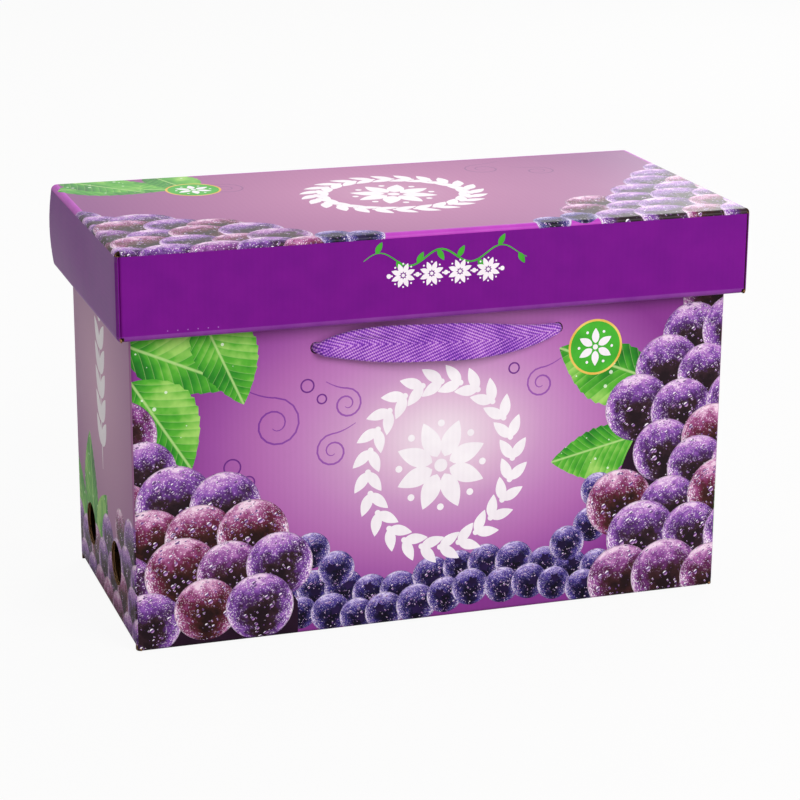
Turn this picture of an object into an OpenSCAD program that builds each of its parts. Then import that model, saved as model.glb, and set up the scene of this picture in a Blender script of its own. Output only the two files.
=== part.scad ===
// Fruit gift box of fluted board: a deep glued base, a lift-off lid with rolled skirts,
// and a woven carrying strap through the front wall and another through the rear wall.
// Millimetres. The origin is the middle of the underside, +X runs along the box, +Z is up,
// and the front wall faces -Y.

/* [Board] */
// Thickness of the fluted board
board = 1.6; // [1.2:0.1:2.2]
// Outer radius of a crease
crease_r = 2.6; // [2.4:0.1:4]

/* [Base] */
// Length of the base over its end walls
base_len = 340; // [280:1:420]
// Depth of the base over its front and rear walls
base_depth = 154; // [130:1:200]
// Height of the base's walls
base_h = 223; // [180:1:260]
// Width of the glue flap behind the rear wall's free edge
glue_flap = 30; // [15:1:35]
// Length of the two inner bottom flaps
end_flap = 77; // [40:1:100]
// Gap between the two outer bottom flaps
flap_gap = 0.6; // [0.2:0.1:3]
// Width of the slot that parts two neighbouring flaps
slot_w = 0.6; // [0.4:0.1:3]

/* [Vent holes] */
// Diameter of a vent hole
vent_d = 25; // [15:1:30]
// Distance between the two vent holes of an end wall
vent_pitch = 68; // [50:1:74]
// Height of the vent holes' centres above the underside
vent_z = 34; // [25:1:60]
// How far the pair of vent holes sits behind the wall's middle
vent_shift = 6; // [0:0.5:8]

/* [Lid] */
// Height of the lid's skirt
skirt_h = 48; // [35:1:60]
// Room between the base and the skirt at each end
end_room = 3.4; // [1:0.2:6]
// Room between the base and the skirt at the front and the rear
side_room = 5.8; // [1:0.2:8]
// Length of the corner tabs that are tucked into the end skirts
corner_tab = 38; // [20:1:55]
// Play on each side of a tucked corner tab
tab_play = 0.1; // [0.05:0.05:0.4]
// Gap between a skirt's inner ply and the lid's panel
ply_gap = 1.4; // [0.5:0.1:4]
// Gap between the lid's panel and the base's rim
seat_gap = 0.2; // [0.1:0.1:0.6]

/* [Straps] */
// Width of the woven tape
tape_w = 20; // [16:1:24]
// Thickness of the woven tape
tape_t = 1; // [0.8:0.1:1.2]
// Distance between the two strap holes of a wall
strap_pitch = 138; // [110:1:160]
// Diameter of a strap hole
strap_hole_d = 6.5; // [6.5:0.25:12]
// Gap between the skirt's lower edge and the tape
strap_gap = 4; // [2:0.5:20]
// How far the tape's middle hangs below its holes
strap_sag = 0; // [0:0.5:5]
// How far the tape bows out from the wall
strap_bow = 5.5; // [5:0.5:14]
// Lean of the tape's width away from upright, lower edge outwards
tape_lean = 14; // [0:1:20]
// Length of the straight tail inside the box
tail_len = 100; // [50:1:110]

/* [Toggles] */
// Length of a toggle's cross bar
bar_len = 38; // [34:1:46]
// Thickness of a toggle
toggle_t = 4; // [3.6:0.1:5]
// Height of a toggle's sleeve above its cross bar
sleeve_h = 9; // [6:0.5:14]
// Clearance between the tape and what it passes or sits in
tape_clear = 0.3; // [0.2:0.05:0.5]

/* [Hidden] */
$fn = 64;

// A skirt is two plies with room for a tucked tab between them, so its rolled edge has this radius
roll_r = (3 * board + 2 * tab_play) / 2;
lid_len = base_len + 2 * (end_room + 2 * roll_r);
lid_depth = base_depth + 2 * (side_room + 2 * roll_r);
lid_top = base_h + seat_gap + board;
skirt_z = lid_top - skirt_h;

// The outer bottom flaps lie on the ground and the inner ones lie on them
end_flap_z = board;
strap_z = skirt_z - strap_gap - tape_w / 2 + strap_sag;
wall_out = base_depth / 2;
wall_in = wall_out - board;

// A bend of the tape at a hole, and the bunched tape's half width and half thickness there
bend_r = 4;
bunch_a = strap_hole_d / 2 - 0.8;
bunch_b = tape_w * tape_t / (3.5 * bunch_a);
tail_y = wall_in - tape_clear - toggle_t / 2;
tail_end_z = strap_z - bend_r - tail_len;

function mix(a, b, t) = a + (b - a) * t;
function smooth(t) = t * t * (3 - 2 * t);
function unit(v) = v / norm(v);

// Section of a board bent a quarter turn, in the quarter where both coordinates are negative
module bent_board(r = crease_r) {
    intersection() {
        difference() {
            circle(r);
            circle(r - board);
        }
        translate([-r, -r]) square(r);
    }
}

// Extrudes a section drawn in Y and Z along X, centred
module along_x(length) {
    rotate([90, 0, 90]) translate([0, 0, -length / 2]) linear_extrude(length) children();
}

// The four walls from above: three creased corners, and at the fourth a glue flap behind the rear wall
module base_walls_section() {
    flat_x = base_len / 2 - crease_r;
    flat_y = wall_out - crease_r;
    translate([-flat_x, -wall_out]) square([2 * flat_x, board]);
    translate([-flat_x, wall_in]) square([2 * flat_x, board]);
    translate([-base_len / 2, -flat_y]) square([board, 2 * flat_y]);
    translate([base_len / 2 - board, -flat_y]) square([board, 2 * flat_y - board]);
    translate([-flat_x, -flat_y]) bent_board();
    translate([flat_x, -flat_y]) mirror([1, 0]) bent_board();
    translate([-flat_x, flat_y]) mirror([0, 1]) bent_board();
    translate([flat_x, flat_y - board]) rotate(180) bent_board();
    translate([flat_x - glue_flap, wall_in - board]) square([glue_flap, board]);
}

// An outer bottom flap with its crease, as a section in Y and Z at the front
module outer_flap_section() {
    translate([-wall_out + crease_r, crease_r]) bent_board();
    translate([-wall_out + crease_r, 0]) square([wall_out - crease_r - flap_gap / 2, board]);
}

// An inner bottom flap with its crease, as a section at the wall that it hangs from
module inner_flap_section() {
    translate([crease_r, crease_r]) bent_board();
    translate([crease_r, 0]) square([end_flap - crease_r, board]);
}

module base_bottom() {
    for (side = [0, 1]) {
        mirror([0, side, 0]) along_x(base_len - 2 * (crease_r + slot_w)) outer_flap_section();
        mirror([side, 0, 0])
            translate([-base_len / 2, 0, end_flap_z])
                rotate(-90)
                    mirror([1, 0, 0])
                        along_x(base_depth - 2 * (crease_r + board + slot_w)) inner_flap_section();
    }
}

module base_walls() {
    front_z = crease_r;
    end_z = end_flap_z + crease_r;
    difference() {
        linear_extrude(base_h) base_walls_section();
        // The walls start where their bottom creases end, and the corner posts go down to the slots
        for (side = [-1, 1]) {
            translate([0, side * wall_out, front_z / 2])
                cube([base_len - 2 * crease_r, 4 * board + 1, front_z], center = true);
            translate([side * base_len / 2, 0, end_z / 2])
                cube([4 * board, base_depth - 2 * (crease_r + board), end_z], center = true);
        }
        translate([0, 0, slot_w / 2]) cube([base_len + 1, base_depth + 1, slot_w], center = true);
    }
}

module base() {
    color("mediumorchid") difference() {
        union() {
            base_walls();
            base_bottom();
        }
        for (y = [vent_shift - vent_pitch / 2, vent_shift + vent_pitch / 2])
            translate([0, y, vent_z]) rotate([0, 90, 0]) cylinder(d = vent_d, h = base_len + 2, center = true);
        for (x = [-strap_pitch / 2, strap_pitch / 2])
            translate([x, 0, strap_z])
                rotate([90, 0, 0]) cylinder(d = strap_hole_d, h = base_depth + 2, center = true);
    }
}

// One skirt, drawn at the front of a lid of this depth. The crease at the panel, the outer ply,
// the rolled edge's outer half, and its inner half with the inner ply each have their own length.
module skirt(depth, crease_len, ply_len, lip_len, inner_len) {
    translate([0, -depth / 2, skirt_z]) {
        along_x(crease_len)
            translate([crease_r, skirt_h - crease_r]) mirror([0, 1]) bent_board();
        along_x(ply_len)
            translate([0, roll_r]) square([board, skirt_h - crease_r - roll_r]);
        along_x(lip_len)
            translate([roll_r, roll_r]) bent_board(roll_r);
        along_x(inner_len) {
            translate([roll_r, roll_r]) mirror([1, 0]) bent_board(roll_r);
            translate([2 * roll_r - board, roll_r])
                square([board, skirt_h - roll_r - board - ply_gap]);
        }
    }
}

// The tab that a front or rear skirt bends into behind the end skirt's outer ply, drawn at one corner
module tucked_tab() {
    tab_x = lid_len / 2 - board - tab_play;
    bend = board + 2 * tab_play;
    translate([0, 0, skirt_z + roll_r]) linear_extrude(skirt_h - roll_r - crease_r) {
        translate([-tab_x + bend, -lid_depth / 2 + bend]) bent_board(bend);
        translate([-tab_x, -lid_depth / 2 + bend]) square([board, corner_tab]);
    }
}

module lid() {
    panel = [lid_len - 2 * crease_r, lid_depth - 2 * crease_r];
    tab_bend = 2 * (board + tab_play);
    color("indigo") {
        translate([-panel.x / 2, -panel.y / 2, lid_top - board]) cube([panel.x, panel.y, board]);
        for (side = [0, 1]) {
            // Front and rear skirts, which carry the tabs
            mirror([0, side, 0])
                skirt(lid_depth, panel.x, lid_len - 2 * (tab_bend + tab_play),
                    lid_len - 2 * (tab_bend + 2 * tab_play), lid_len - 4 * roll_r - 2 * slot_w);
            // End skirts, which close over the tabs
            mirror([side, 0, 0]) rotate(-90)
                skirt(lid_len, panel.y, lid_depth - 2 * tab_play, lid_depth - 2 * tab_play,
                    lid_depth - 2 * (board + slot_w));
            for (end = [0, 1]) mirror([end, 0, 0]) mirror([0, side, 0]) tucked_tab();
        }
    }
}

// Stations of one half of a strap, from the middle of the outer stretch to the tail's end.
// Each holds a centre, the tape's width direction, its half width and its half thickness.
function outer_stretch(steps = 12) = [
    for (i = [0:steps]) let (
        u = i / steps,
        gather = pow(max(0, (u - 0.25) / 0.75), 2),
        lean = tape_lean * (1 - smooth(u)),
        out = bend_r - board / 2 + (strap_bow - bend_r + board / 2) * (1 - u * u)
    ) [
        [u * (strap_pitch / 2 - bend_r), -wall_out - out, strap_z - strap_sag * (1 - u * u)],
        [0, sin(lean), cos(lean)],
        mix(tape_w / 2, bunch_a, gather),
        mix(tape_t / 2, bunch_b, gather)
    ]
];

function outer_bend(steps = 4) = [
    for (i = [1:steps]) let (a = 90 * i / steps) [
        [strap_pitch / 2 - bend_r * (1 - sin(a)), -wall_out + board / 2 - bend_r * cos(a), strap_z],
        [sin(a / 3), 0, cos(a / 3)],
        bunch_a,
        bunch_b
    ]
];

function inner_bend(steps = 5) = [
    for (i = [1:steps]) let (a = 90 * i / steps) [
        [strap_pitch / 2, -wall_in + bend_r * sin(a), strap_z - bend_r * (1 - cos(a))],
        [sin(mix(30, 90, i / steps)), 0, cos(mix(30, 90, i / steps))],
        bunch_a,
        bunch_b
    ]
];

function tail(steps = 10) = [
    for (i = [1:steps]) let (
        u = i / steps,
        open = smooth(min(1, u / 0.4))
    ) [
        [strap_pitch / 2, mix(-wall_in + bend_r, -tail_y, open), strap_z - bend_r - tail_len * u],
        [1, 0, 0],
        mix(bunch_a, tape_w / 2, open),
        mix(bunch_b, tape_t / 2, open)
    ]
];

function mirrored(s) = [[-s[0].x, s[0].y, s[0].z], [-s[1].x, s[1].y, s[1].z], s[2], s[3]];

// A closed solid swept along stations, each ring a rounded oblong square to the route
module sweep_tape(stations, sides = 12) {
    last = len(stations) - 1;
    rings = [
        for (i = [0:last]) let (
            s = stations[i],
            t = unit(stations[min(i + 1, last)][0] - stations[max(i - 1, 0)][0]),
            w = unit(s[1] - (s[1] * t) * t),
            n = cross(t, w)
        ) for (k = [0:sides - 1]) let (
            c = cos(360 * k / sides),
            d = sin(360 * k / sides)
        ) s[0] + s[2] * sign(c) * pow(abs(c), 0.6) * w + s[3] * sign(d) * pow(abs(d), 0.6) * n
    ];
    polyhedron(rings, [
        [for (k = [0:sides - 1]) k],
        for (i = [0:last - 1], k = [0:sides - 1]) let (m = (k + 1) % sides)
            [i * sides + k, (i + 1) * sides + k, (i + 1) * sides + m, i * sides + m],
        [for (k = [sides - 1:-1:0]) last * sides + k]
    ]);
}

module front_strap() {
    half = concat(outer_stretch(), outer_bend(), inner_bend(), tail());
    last = len(half) - 1;
    color("darkviolet")
        sweep_tape([for (i = [last:-1:1]) mirrored(half[i]), for (s = half) s]);
}

module rear_strap() {
    mirror([0, 1, 0]) front_strap();
}

// A moulded toggle: a flat sleeve that holds the tape's end, over a cross bar with round ends
module toggle() {
    sleeve_w = tape_w + 2 * tape_clear + 2;
    pocket_h = sleeve_h - 1;
    color("gainsboro") difference() {
        union() {
            rotate([0, 90, 0]) cylinder(d = toggle_t, h = bar_len - toggle_t, center = true);
            for (x = [-1, 1]) translate([x * (bar_len - toggle_t) / 2, 0, 0]) sphere(d = toggle_t);
            translate([-sleeve_w / 2, -toggle_t / 2, 0]) cube([sleeve_w, toggle_t, sleeve_h]);
        }
        translate([-tape_w / 2 - tape_clear, -tape_t / 2 - tape_clear, sleeve_h - pocket_h])
            cube([tape_w + 2 * tape_clear, tape_t + 2 * tape_clear, pocket_h + 1]);
    }
}

// Puts a toggle at the end of a tail: end is -1 for left and 1 for right, side is -1 for front and 1 for rear
module hung_toggle(end, side) {
    translate([end * strap_pitch / 2, side * tail_y, tail_end_z - 1 - tape_clear]) toggle();
}

module front_left_toggle() { hung_toggle(-1, -1); }
module front_right_toggle() { hung_toggle(1, -1); }
module rear_left_toggle() { hung_toggle(-1, 1); }
module rear_right_toggle() { hung_toggle(1, 1); }

base();
lid();
front_strap();
rear_strap();
front_left_toggle();
front_right_toggle();
rear_left_toggle();
rear_right_toggle();
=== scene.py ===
# Fruit gift box: printed fluted board, woven carrying straps and a soft white studio.
# Sizes are in millimetres where a dictionary says so, and become metres through mm.
import math
import random
from functools import partial

import bmesh
import bpy
from mathutils import Matrix, Vector, noise
from mathutils.geometry import delaunay_2d_cdt


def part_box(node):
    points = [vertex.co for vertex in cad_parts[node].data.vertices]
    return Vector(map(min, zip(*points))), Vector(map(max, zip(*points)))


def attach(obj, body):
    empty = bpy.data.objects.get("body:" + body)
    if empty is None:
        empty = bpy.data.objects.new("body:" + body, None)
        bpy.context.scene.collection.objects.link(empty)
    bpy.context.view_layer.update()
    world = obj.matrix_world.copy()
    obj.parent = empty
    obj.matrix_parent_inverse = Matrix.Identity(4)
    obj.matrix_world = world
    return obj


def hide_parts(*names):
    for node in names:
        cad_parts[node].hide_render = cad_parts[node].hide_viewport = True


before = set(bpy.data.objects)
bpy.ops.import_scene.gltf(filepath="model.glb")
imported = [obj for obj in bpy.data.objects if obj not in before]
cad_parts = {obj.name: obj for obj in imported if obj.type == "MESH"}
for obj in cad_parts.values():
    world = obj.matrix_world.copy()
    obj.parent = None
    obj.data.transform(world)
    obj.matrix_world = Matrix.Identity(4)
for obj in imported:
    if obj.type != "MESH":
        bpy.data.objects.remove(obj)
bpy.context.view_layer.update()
scene = bpy.context.scene
mm = 0.001
quarter = math.pi / 2   # a right angle
print("frame loaded")


# Camera, at the photograph's viewing angle
cameraView = {"azimuth": -18.32, "elevation": 16.91, "roll": 0.34, "lens": 112.4,
              "place": (-0.4293, -1.3083, 0.5236)}

cameraData = bpy.data.cameras.new("studioCamera")
cameraData.lens = cameraView["lens"]
cameraData.sensor_width = 36.0
cameraData.clip_end = 50.0
studioCamera = bpy.data.objects.new("studioCamera", cameraData)
studioCamera.matrix_world = (Matrix.Translation(cameraView["place"])
                             @ Matrix.Rotation(math.radians(cameraView["azimuth"]), 4, "Z")
                             @ Matrix.Rotation(math.radians(90 - cameraView["elevation"]), 4, "X")
                             @ Matrix.Rotation(math.radians(cameraView["roll"]), 4, "Z"))
scene.collection.objects.link(studioCamera)
scene.camera = studioCamera
print("camera placed")


# Sizes that the pieces share, in millimetres. The outer ones come from the frame.
def size(node, axis):
    low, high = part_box(node)
    return (high[axis] - low[axis]) / mm


board = 1.6           # thickness of the fluted board
creaseR = 2.6         # outer radius of a crease
tabPlay = 0.1         # play on each side of a tucked corner tab
slotW = 0.6           # slot between neighbouring flaps
film = 0.09           # how far the printed film stands off the board
flutePitch = 3.2      # from one flute to the next

base = {"length": size("base", 0), "depth": size("base", 1), "height": size("base", 2),
        "ventD": 25.0, "ventPitch": 68.0, "ventZ": 34.0, "ventShift": 6.0,
        "strapPitch": 138.0, "strapHoleD": 6.5, "flapGap": 0.6}
lid = {"length": size("lid", 0), "depth": size("lid", 1), "skirt": size("lid", 2),
       "top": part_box("lid")[1].z / mm, "rollR": (3 * board + 2 * tabPlay) / 2, "plyGap": 1.4}
lid["low"] = lid["top"] - lid["skirt"]

tape = {"width": 20.0, "thick": 0.9, "gap": 4.0, "bow": 5.5, "lean": 14.0,
        "bend": 4.0, "tail": 100.0, "gathered": 2.0, "toggleThick": 4.0, "clear": 0.3,
        "held": 0.84,   # how far it is rolled up where its bend into a hole begins
        "slip": (1.2, 2.9),   # how much lower its middle lies, and how much more its right half does
        "buckle": {"depth": 2.6, "x": -42, "reach": 12, "v": 0.25, "spread": 0.2}}
tape["holeZ"] = lid["low"] - tape["gap"] - tape["width"] / 2


def between(low, high, step):
    count = round((high - low) / step)
    return [low + (high - low) * i / count for i in range(1, count)]


# Planes that board and print are both cut along, so that both take a bow in the same way
baseCuts = (between(-base["length"] / 2, base["length"] / 2, 14),
            between(-base["depth"] / 2, base["depth"] / 2, 12),
            between(0, base["height"], 14))
lidCuts = (between(-lid["length"] / 2, lid["length"] / 2, 14),
           between(-lid["depth"] / 2, lid["depth"] / 2, 12) + [-87.0, -85.9, -84.8, 84.8, 85.9, 87.0],
           between(lid["low"], lid["top"], 6))


# Materials. Colours are written as sRGB hex, as a colour picker gives them.
def linear(hexColour):
    parts = [int(hexColour[i:i + 2], 16) / 255 for i in (1, 3, 5)]
    return (*[c / 12.92 if c <= 0.04045 else ((c + 0.055) / 1.055) ** 2.4 for c in parts], 1.0)


def fill(node, values):
    for name, value in values.items():
        if isinstance(value, bpy.types.Node):
            value = value.outputs[0]
        if isinstance(value, bpy.types.NodeSocket):
            node.id_data.links.new(value, node.inputs[name])
        else:
            node.inputs[name].default_value = value


def addNode(tree, kind, values=None, **settings):
    node = tree.nodes.new("ShaderNode" + kind)
    for key, value in settings.items():
        setattr(node, key, value)
    fill(node, values or {})
    return node


# A new material, a function that adds nodes to it, and its shader
def newMaterial(name):
    material = bpy.data.materials.new(name)
    material.use_nodes = True
    material.node_tree.nodes.clear()
    add = partial(addNode, material.node_tree)
    shader = add("BsdfPrincipled")
    add("OutputMaterial", {"Surface": shader})
    return material, add, shader


def maths(add, operation, *values, **settings):
    return add("Math", dict(enumerate(values)), operation=operation, **settings)


def ranged(add, value, fromLow=0.0, fromHigh=1.0, toLow=0.0, toHigh=1.0):
    return add("MapRange", dict(enumerate((value, fromLow, fromHigh, toLow, toHigh))))


def waves(add, value, pitch):
    return maths(add, "SINE", maths(add, "MULTIPLY", value, math.tau / pitch))


def mottle(add, place, scale, detail=2.0):
    return add("TexNoise", {"Vector": place, "Scale": scale, "Detail": detail})


def ramp(add, value, *pairs):
    node = add("ValToRGB", {0: value})
    elements = node.color_ramp.elements
    while len(elements) < len(pairs):
        elements.new(0.5)
    for element, (position, colour) in zip(elements, pairs):
        element.position = position
        element.color = linear(colour)
    return node


# Offset-printed liner under a glossy polypropylene film, laminated over flutes: the film mirrors
# the studio softly, and the flutes behind it show as a fine washboard in the gloss and as a faint painted
# shade in the ink.
filmFinish = {"roughness": 0.32, "specular": 0.1, "fluteShade": 0.011, "fluteDepth": 0.012,
              "waveDepth": 0.3, "waveSize": 45.0}


def filmMaterial(name, paint):
    material, add, shader = newMaterial(name)
    sheet = add("UVMap", uv_map="sheet")
    across = add("SeparateXYZ", {0: sheet}).outputs["X"]
    flutes = waves(add, across, flutePitch / 100)
    # painted shade: the ink darkens and lightens a little across each flute
    tone = maths(add, "MULTIPLY_ADD", flutes, filmFinish["fluteShade"], 1.0)
    ink = add("HueSaturation", {"Value": tone, "Color": paint(add)})
    wave = mottle(add, add("TexCoord").outputs["Object"], 1000 / filmFinish["waveSize"], 1.0)
    fine = add("Bump", {"Height": flutes, "Strength": 0.35, "Distance": filmFinish["fluteDepth"] * mm})
    soft = add("Bump", {"Height": wave, "Strength": 0.6, "Normal": fine,
                        "Distance": filmFinish["waveDepth"] * mm})
    fill(shader, {"Base Color": ink, "Roughness": filmFinish["roughness"], "Normal": soft,
                  "Specular IOR Level": filmFinish["specular"]})
    return material


# A ground with a pale glow. A shape's own map runs from -1 to 1 over the glow.
def glowPaint(*pairs):
    def paint(add):
        own = add("UVMap", uv_map="art")
        reach = add("VectorMath", {0: own}, operation="LENGTH").outputs["Value"]
        return ramp(add, reach, *pairs)
    return paint


# An even ink, with the faint grain of the printed liner
def plainPaint(firstHex, secondHex):
    def paint(add):
        grain = mottle(add, add("UVMap", uv_map="sheet"), 6.0)
        return ramp(add, grain, (0.35, firstHex), (0.65, secondHex))
    return paint


# Round dark fruit as a photograph prints it: lit from above and along both flanks, with a dark
# heart, a waxy bloom that breaks up the light, and dew. The seed sets the hue and the pattern.
fruitPrint = {"above": (-0.2, 0.94, 0.15), "aside": (0.9, -0.2, -0.2), "bloomSize": 3.0,
              "dew": ((5.0, 0.75, 0.4), (9.0, 0.9, 0.36)), "sparkle": 15.0,
              "purple": ((0.0, "#20141a"), (0.24, "#342028"), (0.42, "#4e2a66"), (0.62, "#824ca6"),
                         (0.82, "#ba80ca"), (1.0, "#f0d2ee")),
              "blue": ((0.0, "#100c1c"), (0.24, "#1e1640"), (0.46, "#352a74"), (0.68, "#5a4898"),
                       (0.86, "#9c8acc"), (1.0, "#dccff0")),
              "wine": ((0.0, "#241414"), (0.24, "#42201e"), (0.44, "#662440"), (0.64, "#96487c"),
                       (0.82, "#cc8cb8"), (1.0, "#f4d6e8"))}


def fruitPaint(add):
    own = add("UVMap", uv_map="art")
    seed = add("Attribute", attribute_name="seed").outputs["Fac"]
    reach = add("VectorMath", {0: own}, operation="LENGTH").outputs["Value"]
    squared = maths(add, "POWER", reach, 2.0)
    left = maths(add, "SUBTRACT", 1.0, squared, use_clamp=True)
    depth = maths(add, "SQRT", left)
    flat = add("SeparateXYZ", {0: own})
    ball = add("CombineXYZ", {0: flat.outputs["X"], 1: flat.outputs["Y"], 2: depth})
    folded = add("CombineXYZ", {0: maths(add, "ABSOLUTE", flat.outputs["X"]), 1: flat.outputs["Y"], 2: depth})
    turn = maths(add, "MULTIPLY", seed, 23.0)
    turned = add("VectorRotate", {"Vector": ball, "Angle": turn}, rotation_type="Z_AXIS")
    spot = add("VectorMath", {0: turned, 1: add("CombineXYZ", {0: turn, 1: turn, 2: seed})}, operation="ADD")
    above = add("VectorMath", {0: ball, 1: fruitPrint["above"]}, operation="DOT_PRODUCT")
    aside = add("VectorMath", {0: folded, 1: fruitPrint["aside"]}, operation="DOT_PRODUCT")
    lit = maths(add, "SMOOTH_MAX", above.outputs["Value"], aside.outputs["Value"], 0.2)
    bloom = add("TexNoise", {"Vector": spot, "Scale": fruitPrint["bloomSize"], "Detail": 5.0,
                             "Roughness": 0.65})
    broken = ranged(add, bloom, 0.3, 0.7, -0.22, 0.22)
    shade = maths(add, "ADD", lit, broken)
    purple, blue, wine = (ramp(add, shade, *fruitPrint[hue]) for hue in ("purple", "blue", "wine"))
    isBlue = ranged(add, seed, 0.3, 0.2)
    isWine = ranged(add, seed, 0.72, 0.86)
    colour = add("MixRGB", {0: isBlue, 1: purple, 2: blue})
    colour = add("MixRGB", {0: isWine, 1: colour, 2: wine})
    # Dew: each drop is dark towards the light, bright away from it, and carries one glint
    for dewSize, amount, widest in fruitPrint["dew"]:
        cells = add("TexVoronoi", {"Vector": spot, "Scale": dewSize})
        chance = add("SeparateXYZ", {0: cells.outputs["Color"]})
        dropSize = ranged(add, chance.outputs["X"], 1 - amount, 1.0, 0.0, widest)
        inside = maths(add, "LESS_THAN", cells.outputs["Distance"], dropSize)
        offset = add("VectorMath", {0: spot, 1: cells.outputs["Position"]}, operation="SUBTRACT")
        back = add("VectorRotate", {"Vector": offset, "Angle": turn}, rotation_type="Z_AXIS", invert=True)
        side = add("VectorMath", {0: back, 1: (-0.55, 0.83, 0.0)}, operation="DOT_PRODUCT")
        slope = maths(add, "MULTIPLY", side.outputs["Value"], dewSize / widest)
        glint = ranged(add, slope, -1.0)
        drop = ramp(add, glint, (0.1, "#e2b6e0"), (0.34, "#8c5ea2"), (0.56, "#3e2050"), (0.66, "#8a5ea6"),
                    (0.74, "#ffffff"), (0.92, "#f6e2f4"))
        colour = add("MixRGB", {0: inside, 1: colour, 2: drop})
    # Fine droplets that only sparkle where the light falls
    specks = add("TexVoronoi", {"Vector": spot, "Scale": fruitPrint["sparkle"]})
    wet = ranged(add, aside.outputs["Value"], 0.5, 0.86, 0.0, 0.28)
    apart = maths(add, "SUBTRACT", specks.outputs["Distance"], wet)
    close = ranged(add, apart, 0.18, 0.34, 1.0, 0.0)
    facing = ranged(add, shade, 0.2, 0.8, 0.0, 0.95)
    sparkle = maths(add, "MULTIPLY", close, facing)
    colour = add("MixRGB", {0: sparkle, 1: colour, 2: linear("#fff0fc")})
    # Each fruit is dark at its edge, where it lies against the next
    edge = ranged(add, reach, 0.95, 1.0, 0.0, 0.5)
    return add("MixRGB", {0: edge, 1: colour, 2: linear("#20102a")})


# Bright green leaves, quilted between curved side veins. The map runs along the midrib from 0 to 1.
leafPrint = {"veinPitch": 0.085, "quilt": 0.16}


def leafPaint(add):
    own = add("UVMap", uv_map="art")
    seed = add("Attribute", attribute_name="seed").outputs["Fac"]
    shift = maths(add, "MULTIPLY", seed, 11.0)
    spot = add("VectorMath", {0: own, 1: shift}, operation="ADD")
    flat = add("SeparateXYZ", {0: own})
    aside = maths(add, "ABSOLUTE", flat.outputs["Y"])
    swept = maths(add, "POWER", aside, 0.8)
    slanted = maths(add, "MULTIPLY_ADD", swept, -0.62, flat.outputs["X"])
    fromVein = maths(add, "WRAP", slanted, leafPrint["veinPitch"], 0.0)
    rise = maths(add, "DIVIDE", fromVein, leafPrint["veinPitch"])
    quilt = maths(add, "MULTIPLY", rise, leafPrint["quilt"])
    vein = ranged(add, rise, 0.0, 0.1, 0.5, 0.0)
    rib = ranged(add, aside, 0.005, 0.016, 0.8, 0.0)
    marks = maths(add, "MAXIMUM", vein, rib)
    cloud = mottle(add, spot, 3.5, 3.0)
    side = ranged(add, flat.outputs["Y"], -0.25, 0.25, -0.2, 0.12)
    shade = maths(add, "ADD", maths(add, "ADD", cloud, side), quilt)
    green = ramp(add, shade, (0.2, "#1c5f22"), (0.42, "#2f8a28"), (0.62, "#56ae34"), (0.85, "#a2d468"))
    colour = add("MixRGB", {0: marks, 1: green, 2: linear("#b8dc8a")})
    drops = add("TexVoronoi", {"Vector": spot, "Scale": 16.0})
    chance = add("SeparateXYZ", {0: drops.outputs["Color"]})
    dropSize = ranged(add, chance.outputs["X"], 0.7, 1.0, 0.0, 0.3)
    inside = maths(add, "LESS_THAN", drops.outputs["Distance"], dropSize)
    return add("MixRGB", {0: maths(add, "MULTIPLY", inside, 0.7), 1: colour, 2: linear("#eef8e4")})


inks = (
    ("field", "printedVioletFilm", glowPaint(
        (0.0, "#f0deea"), (0.12, "#e8d0e0"), (0.26, "#dab2d0"), (0.4, "#c994c3"), (0.55, "#bd7cb9"),
        (0.7, "#b068ad"), (0.85, "#9c50a0"), (1.0, "#86368c"))),
    ("lines", "printedDarkerVioletFilm", glowPaint(
        (0.0, "#b87cc0"), (0.4, "#9a58ac"), (0.7, "#803c98"), (1.0, "#622478"))),
    ("endField", "printedDuskFilm", glowPaint(
        (0.0, "#cc9cba"), (0.4, "#b280a6"), (0.75, "#96588f"), (1.0, "#7f3c82"))),
    ("topField", "printedPinkFilm", glowPaint(
        (0.0, "#c48eb0"), (0.3, "#b4729f"), (0.7, "#a05c90"), (1.0, "#884481"))),
    ("topLines", "printedDarkerPinkFilm", glowPaint((0.0, "#a8709a"), (0.5, "#91568a"), (1.0, "#743a74"))),
    ("lid", "printedPurpleFilm", plainPaint("#700c84", "#760e88")),
    # fold: painted reflection, a paler purple on the lid's rolled edge
    ("fold", "foldSheenPurpleFilm", plainPaint("#7c3090", "#863c98")),
    ("dent", "dentedPurpleFilm", plainPaint("#9a5cae", "#a468b6")),
    # edge: painted highlight, a brighter magenta along the lid's creases
    ("edge", "paintedCreaseHighlightFilm", plainPaint("#b23cb4", "#ba44ba")),
    ("fruit", "printedFruitFilm", fruitPaint),
    ("leaf", "printedLeafFilm", leafPaint),
    ("white", "printedWhiteFilm", plainPaint("#f2eaf0", "#f8f2f6")),
    ("green", "printedGreenFilm", plainPaint("#3ea42e", "#4eb838")),
    ("gold", "printedGoldFilm", plainPaint("#e0a83c", "#f0d070")),
    ("crown", "printedDarkFilm", plainPaint("#1c1030", "#281844")),
    ("shade", "printedShadeFilm", plainPaint("#1e0e1e", "#2a1428")),
)
paints = {ink: filmMaterial(name, paint) for ink, name, paint in inks}


# Kraft board. Its section is worked out from a wall's faces inwards: a liner, a waved medium with
# open flutes on both sides of it, and a second liner. It shows wherever the board is cut, with the
# open flutes painted dark brown as painted shade inside their channels.
kraftFinish = {"fibre": 1.6, "roughness": 0.85, "core": 0.5, "waveHeight": 0.36, "medium": 0.17}

# The axis a wall faces, whether it stands on both sides, how far out its face lies, the pitch from
# ply to ply, the number of plies, and the axis along which its flutes follow one another
baseWalls = ((1, True, base["depth"] / 2, board, 2, 0), (0, True, base["length"] / 2, board, 1, 1),
             (2, False, 2 * board, board, 2, 0))
lidWalls = ((1, True, lid["depth"] / 2, board + tabPlay, 3, 0),
            (0, True, lid["length"] / 2, board + tabPlay, 3, 2),
            (2, False, lid["top"], board, 1, 0))


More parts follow.
